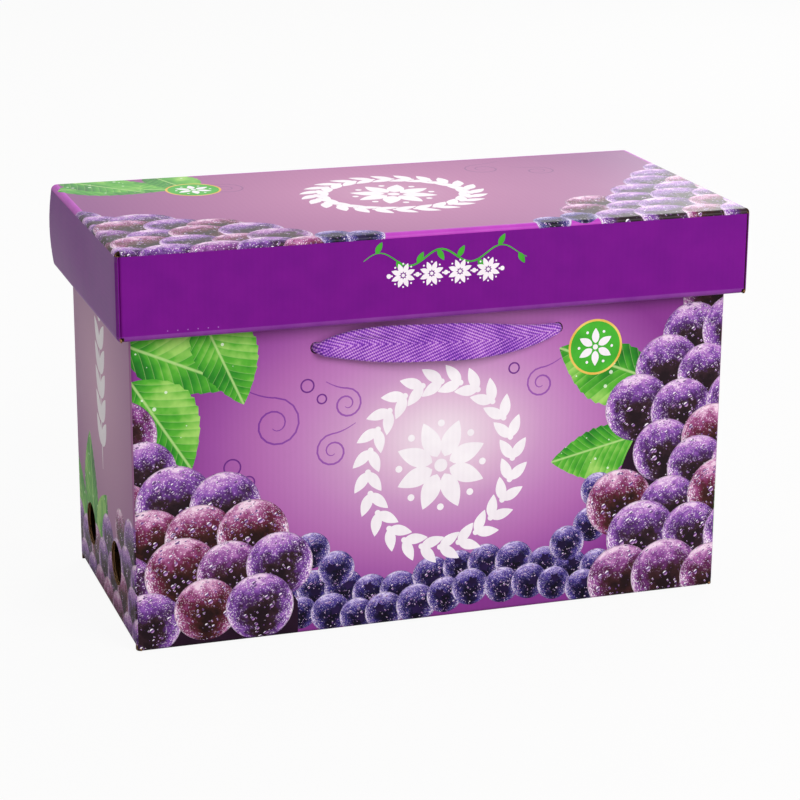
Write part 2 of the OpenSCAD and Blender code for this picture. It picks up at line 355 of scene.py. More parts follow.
def kraftMaterial(name, walls):
    material, add, shader = newMaterial(name)
    place = add("Attribute", attribute_name="restPlace").outputs["Vector"]
    axes = add("SeparateXYZ", {0: place})
    openFluteShade = 0.0
    for axis, bothSides, face, pitch, plies, along in walls:
        out = axes.outputs[axis]
        if bothSides:
            out = maths(add, "ABSOLUTE", out)
        depth = maths(add, "SUBTRACT", face, out)
        inside = maths(add, "COMPARE", depth, plies * pitch / 2, plies * pitch / 2)
        ply = maths(add, "WRAP", depth, pitch, 0.0)
        centred = maths(add, "SUBTRACT", ply, board / 2)
        wave = waves(add, axes.outputs[along], flutePitch)
        medium = maths(add, "MULTIPLY", wave, kraftFinish["waveHeight"])
        offMedium = maths(add, "SUBTRACT", centred, medium)
        nearMedium = maths(add, "COMPARE", offMedium, 0.0, kraftFinish["medium"])
        inCore = maths(add, "COMPARE", centred, 0.0, kraftFinish["core"])
        free = maths(add, "SUBTRACT", 1.0, nearMedium)
        gap = maths(add, "MULTIPLY", maths(add, "MULTIPLY", inside, inCore), free)
        openFluteShade = maths(add, "MAXIMUM", gap, openFluteShade)
    fibres = add("Mapping", {"Vector": place, "Scale": (1.0, 1.0, 0.25)})
    grain = mottle(add, fibres, 1 / kraftFinish["fibre"], 4.0)
    some = maths(add, "MULTIPLY", mottle(add, place, 0.014, 3.0), 0.4)
    both = maths(add, "MULTIPLY_ADD", grain, 0.6, some)
    paper = ramp(add, both, (0.3, "#7d5831"), (0.5, "#9c734a"), (0.7, "#b28a5e"))
    # painted shade: the open flutes are coloured dark brown
    shown = add("MixRGB", {0: openFluteShade, 1: paper, 2: linear("#2e1c0e")})
    bump = add("Bump", {"Height": grain, "Strength": 0.4, "Distance": 0.1 * mm})
    fill(shader, {"Base Color": shown, "Roughness": kraftFinish["roughness"], "Specular IOR Level": 0.3,
                  "Normal": bump})
    return material


# Herringbone tape of spun polyester. Its two stripes of twill meet along the middle, each twill line
# is a row of short floats, and the yarn has a soft sheen. The raised floats are painted lighter and the
# hollows between them darker: painted highlight and shade of the weave.
tapeFinish = {"stripe": 10.0, "slant": 0.4, "pitch": 1.75, "float": 1.35}


def tapeMaterial():
    material, add, shader = newMaterial("herringboneTape")
    flat = add("SeparateXYZ", {0: add("UVMap", uv_map="weave")})
    fromMiddle = maths(add, "SUBTRACT", flat.outputs["X"], tape["width"] / 2)
    zigzag = maths(add, "PINGPONG", fromMiddle, tapeFinish["stripe"])
    slanted = maths(add, "MULTIPLY_ADD", flat.outputs["Y"], tapeFinish["slant"], zigzag)
    twill = waves(add, slanted, tapeFinish["pitch"])
    crossed = maths(add, "MULTIPLY_ADD", zigzag, -0.55, flat.outputs["Y"])
    floats = waves(add, crossed, tapeFinish["float"])
    height = maths(add, "MULTIPLY_ADD", floats, 0.6, twill)
    # painted highlight and shade: the ink follows the weave's height, pale lilac on the floats and dark
    # purple between them, with random tone added on top
    level = ranged(add, height, -1.6, 1.6, 0.0, 0.65)
    place = add("TexCoord").outputs["Object"]
    patchy = ranged(add, mottle(add, place, 70.0), 0.3, 0.7, -0.1, 0.1)
    tone = maths(add, "MULTIPLY_ADD", mottle(add, place, 900.0), 0.5, level)
    tone = maths(add, "ADD", tone, patchy)
    colour = ramp(add, tone, (0.2, "#4c1088"), (0.42, "#7a2cb2"), (0.64, "#a658cc"), (0.88, "#dca2ea"))
    bump = add("Bump", {"Height": height, "Strength": 0.6, "Distance": 0.3 * mm})
    fill(shader, {"Base Color": colour, "Roughness": 0.6, "Specular IOR Level": 0.3, "Sheen Weight": 0.25,
                  "Sheen Roughness": 0.4, "Normal": bump})
    return material


# Natural polypropylene, moulded: milky, with a fine matt skin
def toggleMaterial():
    material, add, shader = newMaterial("mouldedPolypropylene")
    cloud = mottle(add, add("TexCoord").outputs["Object"], 90.0)
    milky = ramp(add, cloud, (0.3, "#d8d6d0"), (0.7, "#e8e6e0"))
    fill(shader, {"Base Color": milky, "Roughness": 0.45, "IOR": 1.49})
    return material


baseKraft = kraftMaterial("baseKraftBoard", baseWalls)
lidKraft = kraftMaterial("lidKraftBoard", lidWalls)
weave = tapeMaterial()
polypropylene = toggleMaterial()
print("materials made")


# Card is never quite flat: the same small bow is given to the board, its print and the straps, and
# the die crushes the upright edges of the lid's end skirts
bow = {"baseSide": 0.8, "baseEnd": 0.5, "lidEnd": 2.2, "lidSide": 0.5, "lidSag": 0.7, "crush": 1.1}


def dome(value, half):
    return max(0.0, 1 - (value / half) ** 2)


def smooth(t):
    t = min(1.0, max(0.0, t))
    return t * t * (3 - 2 * t)


def settleBase(p):
    x, y, z = (c / mm for c in p)
    rise = math.sin(math.pi * min(1.0, max(0.0, z / base["height"])))
    side = bow["baseSide"] * dome(x, base["length"] / 2) * rise
    end = bow["baseEnd"] * dome(y, base["depth"] / 2) * rise
    outX, outY = smooth((abs(x) - 150) / 18), smooth((abs(y) - 60) / 14)
    return p + Vector((math.copysign(end * outX, x), math.copysign(side * outY, y), 0)) * mm


def settleLid(p):
    x, y, z = (c / mm for c in p)
    rise = dome(z - (lid["low"] + lid["top"]) / 2, lid["skirt"] / 2)
    end = bow["lidEnd"] * rise * (0.5 + 0.5 * math.tanh(y / 30)) * smooth((abs(x) - 165) / 8)
    side = bow["lidSide"] * rise * dome(x, lid["length"] / 2) * smooth((abs(y) - 78) / 4)
    if z < lid["top"] - creaseR + 0.05:
        outerPly = min(1.0, max(0.0, (abs(x) - lid["length"] / 2 + board) / board))
        end -= bow["crush"] * outerPly * smooth((abs(y) - lid["depth"] / 2 + 2.8) / 2.8)
    high = smooth((z - lid["top"] + creaseR + 1) / 1)
    sag = bow["lidSag"] * dome(x, lid["length"] / 2) * dome(y, lid["depth"] / 2) * high
    return p + Vector((end * math.copysign(1, x), side * math.copysign(1, y), -sag)) * mm


def settledNormal(point, normal, settle):
    first = normal.orthogonal().normalized()
    second = normal.cross(first)
    step = 0.5 * mm
    here = settle(point)
    return (settle(point + first * step) - here).cross(settle(point + second * step) - here).normalized()


def meshOf(bm, name, material):
    mesh = bpy.data.meshes.new(name)
    bm.to_mesh(mesh)
    bm.free()
    mesh.materials.append(material)
    return mesh


def newObject(name, mesh, body):
    made = bpy.data.objects.new(name, mesh)
    scene.collection.objects.link(made)
    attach(made, body)
    return made


# Art on a flat sheet, in millimetres. A shape is a paint, an outline, and where its own map lies:
# its centre, the length that the map calls 1 (or one such length each way), and its turn.
def addShape(art, paint, outline, centre=(0.0, 0.0), span=1.0, turn=0.0, seed=0.0):
    rim = [Vector(p) for p in outline]
    if sum(a.cross(b) for a, b in zip(rim, rim[1:] + rim[:1])) < 0:
        rim.reverse()   # every outline runs anticlockwise
    art.append({"paint": paint, "outline": rim, "centre": Vector(centre),
                "span": span if isinstance(span, tuple) else (span, span), "turn": turn, "seed": seed})


def around(x, y, radius, angle):
    return x + radius * math.cos(angle), y + radius * math.sin(angle)


def oblong(left, low, right, high):
    return [(left, low), (right, low), (right, high), (left, high)]


def addDisc(art, paint, x, y, radius, seed=0.0, points=36):
    rim = [around(x, y, radius, math.tau * i / points) for i in range(points)]
    addShape(art, paint, rim, (x, y), radius, 0.0, seed)


def addStroke(art, paint, points, width, glow=((0, 0), 1)):
    left, right = [], []
    last = len(points) - 1
    for i, p in enumerate(points):
        along = (Vector(points[min(i + 1, last)]) - Vector(points[max(i - 1, 0)])).normalized()
        off = Vector((-along.y, along.x)) * width / 2 * math.sin(math.pi * (0.12 + 0.76 * i / last))
        left.append(Vector(p) + off)
        right.append(Vector(p) - off)
    for i in range(last):   # one short piece after another, so that a curl may cross itself
        addShape(art, paint, [right[i], right[i + 1], left[i + 1], left[i]], *glow)


def addScroll(art, paint, x, y, size, way, glow, turns=1.6, width=1.1):
    count = int(16 * turns)
    curl = []
    for k in range(count + 1):
        reach = size * (1 - 0.82 * k / count)
        curl.append(around(x, y, reach, quarter + way * math.tau * turns * k / count))
    sweep = [(x + way * size * 1.3 * (1 - k / 8) ** 1.2, y + size + size * 0.5 * (k / 8 - 1) ** 2)
             for k in range(8)]
    addStroke(art, paint, sweep + curl, width, glow)


def addLeaf(art, x, y, length, width, angle, seed=0.0, paint="leaf", teeth=11, points=44):
    sides = []
    for sign in (-1, 1):
        edge = []
        for i in range(points + 1):
            u = i / points
            tooth = 1 + 0.09 * (1 - (u * teeth) % 1) * (teeth > 0)
            bend = 0.07 * math.sin(math.pi * u) * (teeth > 0)
            edge.append((u, bend + sign * width / length / 2 * math.sin(math.pi * u ** 0.8) ** 0.85 * tooth))
        sides.append(edge)
    turned = Matrix.Rotation(math.radians(angle), 2)
    outline = [turned @ Vector(p) * length + Vector((x, y)) for p in sides[0][:-1] + sides[1][:0:-1]]
    addShape(art, paint, outline, (x, y), length, math.radians(angle), seed)


def addLeaves(art, rng, plump, *leaves):
    for x, y, length, angle in leaves:
        addLeaf(art, x, y, length, plump * length, angle, rng.random())


# Fruit in rows from the back of the heap to its front, so that each row covers the foot of the last
def addHeap(art, rng, left, right, crest, low, radius, hues=(0.32, 1.0)):
    xs = [left + (right - left) * i / 12 for i in range(13)]
    addShape(art, "shade", [(x, crest(x) - radius * 1.3) for x in xs] + [(right, low - radius),
                                                                         (left, low - radius)])
    level = max(crest(left + (right - left) * i / 20) for i in range(21)) - radius * 0.6
    row = 0
    while level > low:
        x = left + radius * 0.75 * (row % 2)
        while x < right:
            if level < crest(x) - radius * 0.5:
                addDisc(art, "fruit", x + rng.uniform(-0.16, 0.16) * radius,
                        level + rng.uniform(-0.18, 0.18) * radius, radius * rng.uniform(0.9, 1.14),
                        rng.uniform(*hues))
            x += radius * 1.5
        level -= radius * 1.12
        row += 1


# Small blue berries, each with its dark five-pointed crown
def addBerry(art, x, y, radius, seed):
    addDisc(art, "fruit", x, y, radius, seed, 30)
    cx, cy = around(x, y, radius * 0.3, seed * 90)
    star = []
    for i in range(10):
        reach = radius * (0.36 if i % 2 else 0.2)
        star.append((cx + reach * math.cos(i * math.pi / 5 + seed * 50),
                     cy + reach * 0.85 * math.sin(i * math.pi / 5 + seed * 50)))
    addShape(art, "crown", star)


def addBerryRow(art, rng, left, right, level, radius):
    for row in (1, 0):
        x = left + radius * 0.8 * row
        while x < right:
            addBerry(art, x + rng.uniform(-1.5, 1.5), level(x) + row * radius * 1.25 + rng.uniform(-2, 2),
                     radius * rng.uniform(0.88, 1.15), rng.uniform(0.0, 0.2))
            x += radius * 1.6


def addRosette(art, x, y, radius, petals=8, paint="white"):
    for i in range(petals):
        a, b = math.tau * (i + 0.5) / petals, math.tau * i / petals
        addLeaf(art, *around(x, y, 0.2 * radius, a), 0.8 * radius, 0.4 * radius, math.degrees(a), 0.0, paint,
                0, 14)
        addDisc(art, paint, *around(x, y, 0.9 * radius, b), 0.075 * radius, 0.0, 12)
    addDisc(art, paint, x, y, 0.14 * radius, 0.0, 20)


def addWreath(art, x, y, wide, high, count=24):
    for i in range(count):
        a = math.tau * i / count
        px, py = x + wide * math.cos(a), y + high * math.sin(a)
        heading = math.degrees(math.atan2(high * math.cos(a), -wide * math.sin(a)))
        for lean in (34, -34):
            addLeaf(art, px, py, 0.33 * wide, 0.15 * wide, heading + lean, 0.0, "white", 0, 12)
        addDisc(art, "white", px, py, 0.04 * wide, 0.0, 12)


def addSeal(art, x, y, radius):
    addDisc(art, "gold", x, y, radius, 0.0, 44)
    addDisc(art, "green", x, y, radius * 0.92, 0.0, 44)
    addRosette(art, x, y, radius * 0.68, 6)


# A printed sheet. The outline and the art are flattened into one set of triangles, each with the
# topmost shape's paint, and the sheet is then wrapped round the board's creases.
def bent(value, low, high, lowR, highR, lowTurn=quarter):
    sign, start, radius, turn = (1, high, highR, quarter) if value > high else (-1, low, lowR, lowTurn)
    length = (value - start) * sign
    if length <= 0:
        return value, 0.0, 0.0
    angle = min(length / radius, turn)
    past = length - angle * radius   # beyond the crease the sheet is straight again
    return (start + sign * (radius * math.sin(angle) + past * math.cos(angle)),
            radius * (1 - math.cos(angle)) + past * math.sin(angle), sign * angle)


def wrapPoint(p, sheet):
    x, backX, turnX = bent(p.x, -sheet["flatX"], sheet["flatX2"], sheet["sideR"], sheet["sideR"])
    y, backY, turnY = bent(p.y, sheet["lowY"], sheet["highY"], sheet["lowR"], creaseR, sheet["lowTurn"])
    right, up, out = sheet["right"], sheet["up"], sheet["out"]
    normal = (out * math.cos(turnX) * math.cos(turnY) + right * math.sin(turnX) * math.cos(turnY)
              + up * math.sin(turnY))
    point = Vector(sheet["origin"]) + right * x + up * y - out * (backX + backY) + normal * film
    return point * mm, normal


def printSheet(name, sheet, ground, art, holes, lines, body, settle):
    shapes = ground + art
    corners, polygons, edges = [], [], []
    for shape in shapes + holes:
        start = len(corners)
        corners += shape["outline"]
        polygons.append(list(range(start, len(corners))))
    for a, b in lines:
        edges.append((len(corners), len(corners) + 1))
        corners += [Vector(a), Vector(b)]
    points, _, triangles, _, _, sources = delaunay_2d_cdt(corners, edges, polygons, 1, 1e-6)
    kept = [(tri, max(src)) for tri, src in zip(triangles, sources) if 0 in src and max(src) < len(shapes)]
    used = sorted({i for tri, _ in kept for i in tri})
    number = {old: new for new, old in enumerate(used)}
    wrapped = [wrapPoint(points[i], sheet) for i in used]
    mesh = bpy.data.meshes.new(name)
    mesh.from_pydata([settle(p) for p, _ in wrapped], [],
                     [[number[i] for i in tri] for tri, _ in kept])
    names = sorted({shapes[top]["paint"] for _, top in kept})
    for paint in names:
        mesh.materials.append(paints[paint])
    artMap, sheetMap, bakeMap = (mesh.uv_layers.new(name=n) for n in ("art", "sheet", "OFBake"))
    low, high = (Vector([end(points[i][axis] for i in used) for axis in (0, 1)]) for end in (min, max))
    reach = max(high - low)
    seeds = mesh.attributes.new("seed", "FLOAT", "FACE")
    for polygon, (tri, top) in zip(mesh.polygons, kept):
        shape = shapes[top]
        polygon.material_index = names.index(shape["paint"])
        seeds.data[polygon.index].value = shape["seed"]
        back = Matrix.Rotation(-shape["turn"], 2)
        for loop, i in zip(polygon.loop_indices, tri):
            p = points[i]
            own = back @ (p - shape["centre"])
            artMap.data[loop].uv = (own.x / shape["span"][0], own.y / shape["span"][1])
            sheetMap.data[loop].uv = (p.yx if sheet["fluteAlongX"] else p.xy) / 100
            bakeMap.data[loop].uv = (p - low) / reach * 0.996 + Vector((0.002, 0.002))
    mesh.shade_smooth()
    mesh.normals_split_custom_set_from_vertices([settledNormal(p, n, settle) for p, n in wrapped])
    made = newObject(name, mesh, body)
    print(f"{name}: {len(mesh.polygons)} triangles, {len(art)} shapes")
    return made


axisX, axisY, axisZ = Vector((1, 0, 0)), Vector((0, 1, 0)), Vector((0, 0, 1))
arc = creaseR * quarter   # the film's length round a whole crease
plainSheet = {"sideR": creaseR, "lowR": creaseR, "lowTurn": quarter, "fluteAlongX": False}
facing = {"front": (axisX, -axisY), "back": (-axisX, axisY), "left": (-axisY, -axisX),
          "right": (axisY, axisX)}


def gridLines(xs, ys, reach=400):
    return [((x, -reach), (x, reach)) for x in xs] + [((-reach, y), (reach, y)) for y in ys]


def steps(start, length, count):
    return [start + length * i / count for i in range(count + 1)]


# Base walls. Front and rear carry the same picture, and so do the two ends.
wideGlow = ((2, 107), (150, 100))
endGlow = ((0, 128), 150)


def wideArt(kind):
    rng = random.Random("wide" + kind)
    art = []
    for x, y, r, way in ((-92, 122, 15, -1), (-60, 104, 10, 1), (-52, 130, 9, -1), (60, 132, 9, 1)):
        addScroll(art, "lines", x, y, r, way, wideGlow)
    for x, y, r in ((-116, 100, 5), (-107, 91, 3.6), (-74, 142, 4), (-66, 134, 3), (44, 142, 3.4)):
        addDisc(art, "lines", x, y, r, 0.0, 24)
        addShape(art, "field", [around(x, y, r - 0.9, 0.35 * i) for i in range(18)], *wideGlow)
    addLeaves(art, rng, 0.58, (-172, 172, 66, -24), (-170, 152, 60, -58), (-132, 186, 56, -66))
    addLeaves(art, rng, 0.56, (128, 128, 62, 158), (118, 96, 52, 192))
    addHeap(art, rng, 106, 190, lambda x: 92 + 112 * max(0.0, (x - 106) / 66) ** 0.8, 84, 19)
    addBerryRow(art, rng, -96, 118, lambda x: 12 + 5 * math.sin(x / 22), 10.5)
    for x, y in ((96, 66), (110, 52), (92, 46), (78, 36), (-72, 48), (-58, 36)):
        addBerry(art, x, y, 10.5, rng.uniform(0.0, 0.2))
    addHeap(art, rng, -190, -80, lambda x: 44 + 96 * max(0.0, (-80 - x) / 90) ** 0.8, 0, 19)
    addHeap(art, rng, 112, 192, lambda x: 70 + 30 * max(0.0, (x - 112) / 60), -6, 19.5)
    addWreath(art, 2, 90, 42, 48)
    addRosette(art, 2, 90, 27)
    addSeal(art, 92, 150, 16)
    return art


def endArt(kind):
    rng = random.Random("end" + kind)
    art = []
    for i in range(5):
        y = 150 - 14 * i
        for angle in (52, 128):
            addLeaf(art, 0, y, 20, 9.5, angle, 0.0, "white", 0, 14)
    addStroke(art, "white", [(0, 80 + 9 * i) for i in range(9)], 2.2)
    addDisc(art, "white", 0, 170, 4.5, 0.0, 24)
    addLeaves(art, rng, 0.56, (-30, 30, 62, 96), (-52, 22, 56, 124), (-14, 22, 50, 64))
    addHeap(art, rng, -88, 92, lambda x: 34 + 40 * max(0.0, (x + 20) / 90) ** 0.9, -6, 16)
    return art


def buildWall(kind):
    wide = kind in ("front", "back")
    half = (base["length"] if wide else base["depth"]) / 2
    flat, top = half - creaseR, base["height"]
    lowFlat = creaseR if wide else board + creaseR
    lowEnd = lowFlat - arc
    slit = flat if wide else flat - board
    flap = slit - slotW
    # The rear wall's glued edge is free, and the right-hand wall's crease runs on under it
    flatRight = flat - board if kind == "right" else flat
    rightReach = flatRight + (arc if kind == "right" else arc / 2)
    leftSide = [(-flat - arc / 2, top), (-flat - arc / 2, slotW), (-slit, slotW), (-slit, lowFlat)]
    rightSide = [(flap, lowFlat), (slit, lowFlat), (slit, slotW), (rightReach, slotW), (rightReach, top)]
    if kind == "back":
        leftSide = [(-flat, top), (-flat, lowFlat)]
    if kind == "right":
        rightSide = [(flap, lowFlat), (flatRight, lowFlat), (flatRight, slotW), (rightReach, slotW),
                     (rightReach, top)]
    ground, holes = [], []
    addShape(ground, "field" if wide else "endField",
             leftSide + [(-flap, lowFlat), (-flap, lowEnd), (flap, lowEnd)] + rightSide,
             *(wideGlow if wide else endGlow))
    if wide:
        for x in (-base["strapPitch"] / 2, base["strapPitch"] / 2):
            addDisc(holes, "field", x, tape["holeZ"], base["strapHoleD"] / 2)
    else:
        sign = -1 if kind == "left" else 1
        for y in (-1, 1):
            across = sign * (base["ventShift"] + y * base["ventPitch"] / 2)
            addDisc(holes, "field", across, base["ventZ"], base["ventD"] / 2, 0.0, 48)
    right, out = facing[kind]
    depth = base["depth"] / 2 if wide else base["length"] / 2
    sheet = {**plainSheet, "origin": out * depth, "right": right, "up": axisZ, "out": out, "flatX": flat,
             "flatX2": flatRight, "lowY": lowFlat, "highY": 9999.0}
    lines = gridLines(steps(-flat, -arc / 2, 5) + steps(flatRight, rightReach - flatRight, 5)
                      + baseCuts[0 if wide else 1], steps(lowFlat, lowEnd - lowFlat, 6) + baseCuts[2])
    printSheet(f"base_{kind}_print", sheet, ground, wideArt(kind) if wide else endArt(kind), holes, lines,
               "base", settleBase)


for wall in facing:
    buildWall(wall)


# Outer bottom flaps, printed with an even ground
for side, name in ((-1, "front"), (1, "rear")):
    reach = base["length"] / 2 - creaseR - slotW
    flatY = base["depth"] / 2 - creaseR
    ground = []
    addShape(ground, "lid", oblong(-reach, -flatY, reach, -base["flapGap"] / 2))
    sheet = {**plainSheet, "origin": (0, 0, 0), "right": axisX * -side, "up": axisY * -side, "out": -axisZ,
             "flatX": 999.0, "flatX2": 999.0, "lowY": -999.0, "highY": 999.0}
    printSheet(f"base_{name}_flap_print", sheet, ground, [], [], gridLines(baseCuts[0], baseCuts[1]),
               "base", settleBase)
print("base printed")


# Lid panel. Its picture runs over the creases as far as the skirts.
topGlow = ((0, 14), 170)


def topArt():
    rng = random.Random("top")
    art = []
    for x, y, r, way in ((74, 58, 12, 1), (104, 44, 10, -1), (-86, 48, 12, -1)):
        addScroll(art, "topLines", x, y, r, way, topGlow)
    addLeaves(art, rng, 0.58, (-178, 70, 66, -14), (-172, 92, 58, -46), (-120, 94, 50, -72))
    addHeap(art, rng, 92, 200, lambda x: -54 + 104 * max(0.0, (x - 92) / 96) ** 0.8, -100, 17)
    addHeap(art, rng, -200, -70, lambda x: -60 + 78 * max(0.0, (-70 - x) / 110) ** 0.8, -100, 17)
    for x, y in ((80, -78), (62, -84), (-60, -82), (-44, -86)):
        addBerry(art, x, y, 10.5, rng.uniform(0.0, 0.2))
    addWreath(art, 2, 8, 44, 40)
    addRosette(art, 2, 8, 25)
    addSeal(art, -104, 50, 16)
    return art


def buildPanel():
    flatX, flatY = lid["length"] / 2 - creaseR, lid["depth"] / 2 - creaseR
    x, y = flatX + arc, flatY + arc
    ground = []
    addShape(ground, "topField", [(-flatX, y), (-flatX, flatY), (-x, flatY), (-x, -flatY), (-flatX, -flatY),
                                  (-flatX, -y), (flatX, -y), (flatX, -flatY), (x, -flatY), (x, flatY),
                                  (flatX, flatY), (flatX, y)], *topGlow)
    sheet = {**plainSheet, "origin": axisZ * lid["top"], "right": axisX, "up": axisY, "out": axisZ,
             "flatX": flatX, "flatX2": flatX, "lowY": -flatY, "highY": flatY}
    edge = []   # painted highlight: the creases are painted a brighter, deeper magenta than the ground
    for half, across in ((flatY, False), (flatX, True)):
        for sign in (-1, 1):
            strip = oblong(-400, sign * (half - 0.6), 400, sign * (half + 9))
            addShape(edge, "edge", [(b, a) if across else (a, b) for a, b in strip])
    lines = gridLines(steps(-flatX, -arc, 6) + steps(flatX, arc, 6) + lidCuts[0],
                      steps(-flatY, -arc, 6) + steps(flatY, arc, 6) + lidCuts[1])
    printSheet("lid_top_print", sheet, ground, edge + topArt(), [], lines, "lid", settleLid)


# Lid skirts: the film goes down the outer ply, round the rolled edge and up the inner ply
def skirtArt(kind):
    art = []
    addShape(art, "fold", oblong(-400, -9, 400, 3.1))   # painted reflection: the rolled edge is painted paler and duller, for the sheen it catches
    if kind in ("front", "back"):
        vine = [(-46 + 2.3 * k, 34 + 4 * math.sin(k * 0.42)) for k in range(41)]
        addStroke(art, "green", vine, 1.0)
        for k in range(3, 40, 5):
            x, y = vine[k]
            addLeaf(art, x, y, 7, 3.2, 60 if k % 2 else -60, 0.0, "green", 0, 10)
        for x in (-24, -8, 8, 24):
            addRosette(art, x, 25, 7)
        for x in (-32, -16, 0, 16, 32):
            addDisc(art, "white", x, 25, 1.3, 0.0, 12)
        for i in range(6):   # dents of the scoring rule beside the fold
            addDisc(art, "dent", -152 + 5.4 * i, 4.6, 0.36, 0.0, 10)
    return art


def buildSkirt(kind):
    wide = kind in ("front", "back")
    roll, high = lid["rollR"], lid["skirt"] - creaseR
    tabBend = 2 * (board + tabPlay)
    turnEnd = roll - math.pi * roll
    innerEnd = turnEnd - (lid["skirt"] - roll - board - lid["plyGap"])
    if wide:
        ply = lid["length"] / 2 - tabBend - tabPlay
        lip, inner = ply - tabPlay, lid["length"] / 2 - 2 * roll - slotW
        sideR, reach = board + 2 * tabPlay, ply + (board + 2 * tabPlay) * quarter
    else:
        ply = lid["depth"] / 2 - tabPlay
        lip, inner = ply, lid["depth"] / 2 - board - slotW
        sideR, reach = 0.15, ply + 0.15 * (quarter - 1) + board - 0.2   # the film covers the crushed edge
    half = [(reach, high), (reach, roll), (lip, roll), (lip, roll - quarter * roll),
            (inner, roll - quarter * roll), (inner, innerEnd)]
    ground = []
    addShape(ground, "lid", [(-x, y) for x, y in half] + half[::-1])
    right, out = facing[kind]
    depth = lid["depth"] / 2 if wide else lid["length"] / 2
    flatX = ply if wide else ply - sideR
    sheet = {"origin": out * depth + axisZ * lid["low"], "right": right, "up": axisZ, "out": out,
             "flatX": flatX, "flatX2": flatX, "sideR": sideR, "lowY": roll, "highY": high + 0.001,
             "lowR": roll, "lowTurn": math.pi, "fluteAlongX": not wide}
    sides = steps(-flatX, flatX - reach, 5) + steps(flatX, reach - flatX, 5)
    heights = [z - lid["low"] for z in lidCuts[2] if z > lid["low"] + roll]
    lines = gridLines(sides + lidCuts[0 if wide else 1], steps(roll, turnEnd - roll, 12)
                      + heights + [turnEnd - (z - roll) for z in heights])
    printSheet(f"lid_{kind}_print", sheet, ground, skirtArt(kind), [], lines, "lid",
               settleLid)


buildPanel()
for wall in facing:
    buildSkirt(wall)
print("lid printed")


# Board: a merged copy of each solid, cut along the shared planes so that it bows as its print does.
# It keeps its flat place in an attribute, from which the material draws its section.
def boardPiece(node, name, body, settle, cuts, material):
    bm = bmesh.new()
    bm.from_mesh(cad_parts[node].data)
    bmesh.ops.remove_doubles(bm, verts=bm.verts, dist=0.002 * mm)
    for axis in range(3):
        normal = Vector([float(i == axis) for i in range(3)])
        for place in cuts[axis]:
            bmesh.ops.bisect_plane(bm, geom=bm.verts[:] + bm.edges[:] + bm.faces[:],
                                   plane_co=normal * place * mm, plane_no=normal, dist=1e-7)
    restPlace = bm.verts.layers.float_vector.new("restPlace")
    for vert in bm.verts:
        vert[restPlace] = vert.co / mm
        vert.co = settle(vert.co)
    mesh = meshOf(bm, name, material)
    mesh.shade_smooth()
    mesh.set_sharp_from_angle(angle=math.radians(30))
    piece = newObject(name, mesh, body)
    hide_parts(node)
    print(f"{name}: {len(mesh.polygons)} faces")


boardPiece("base", "base_kraft_board", "base", settleBase, baseCuts, baseKraft)
boardPiece("lid", "lid_kraft_board", "lid", settleLid, lidCuts, lidKraft)
print("board made")


# Woven straps. The route and its stations follow the solid's own rule, in finer steps.
def mix(a, b, t):
    return a + (b - a) * t


def strapStations():
    halfPitch, bend = base["strapPitch"] / 2, tape["bend"]
    wallOut = base["depth"] / 2
    wallIn = wallOut - board
    tailY = wallIn - tape["clear"] - tape["toggleThick"] / 2
    half = []
    for i in range(56):
        u = i / 55
        lean = math.radians(tape["lean"] * (1 - smooth(u)))
        out = bend - board / 2 + (tape["bow"] - bend + board / 2) * (1 - u * u)
        half.append((Vector((u * (halfPitch - bend), -wallOut - out, tape["holeZ"])),
                     Vector((0, math.sin(lean), math.cos(lean))), tape["held"] * u ** 1.9))
    for i in range(1, 13):
        a = quarter * i / 12
        half.append((Vector((halfPitch - bend * (1 - math.sin(a)), -wallOut + board / 2 - bend * math.cos(a),
                             tape["holeZ"])), Vector((math.sin(a / 3), 0, math.cos(a / 3))),
                     mix(tape["held"], 1.0, min(1.0, i / 9))))
    for i in range(1, 15):
        a, w = quarter * i / 14, mix(quarter / 3, quarter, i / 14)
        half.append((Vector((halfPitch, -wallIn + bend * math.sin(a),
                             tape["holeZ"] - bend * (1 - math.cos(a)))),
                     Vector((math.sin(w), 0, math.cos(w))), 1.0))
    for i in range(1, 41):
        u = i / 40
        opened = smooth(u / 0.4)
        half.append((Vector((halfPitch, mix(-wallIn + bend, -tailY, opened),
                             tape["holeZ"] - bend - tape["tail"] * u)), Vector((1, 0, 0)), 1 - opened))
    left = [(Vector((-p.x, p.y, p.z)), Vector((-w.x, w.y, w.z)), g ** 1.8) for p, w, g in half[:0:-1]]
    return left + half


# Towards a hole the tape's edges turn in behind it, until it is one roll. At v, from -1 at one edge
# to 1 at the other, it lies this far across and this far out.
def rolled(v, gather, lift):
    half = tape["width"] / 2
    turn = mix(1.0, tape["gathered"], gather)
    own = turn * (1 + math.copysign(0.12 * gather, v))   # one edge lies inside the other
    lost = (half - tape["gathered"]) * gather
    turned = lost + own if lost > 0.57 * own else (6.8 * own ** 2 * lost) ** (1 / 3)
    flat = max(0.0, half - turned)
    length = abs(v) * half
    if length <= flat:
        across, back = length, 0.0
    else:
        angle = min((length - flat) / own, math.pi)
        past = max(0.0, (length - flat) / own - math.pi)
        across = flat + own * (math.sin(angle) + math.exp(-past) - 1)
        back = own * (1 - math.cos(angle))
    return math.copysign(across, v), turn * lift - back


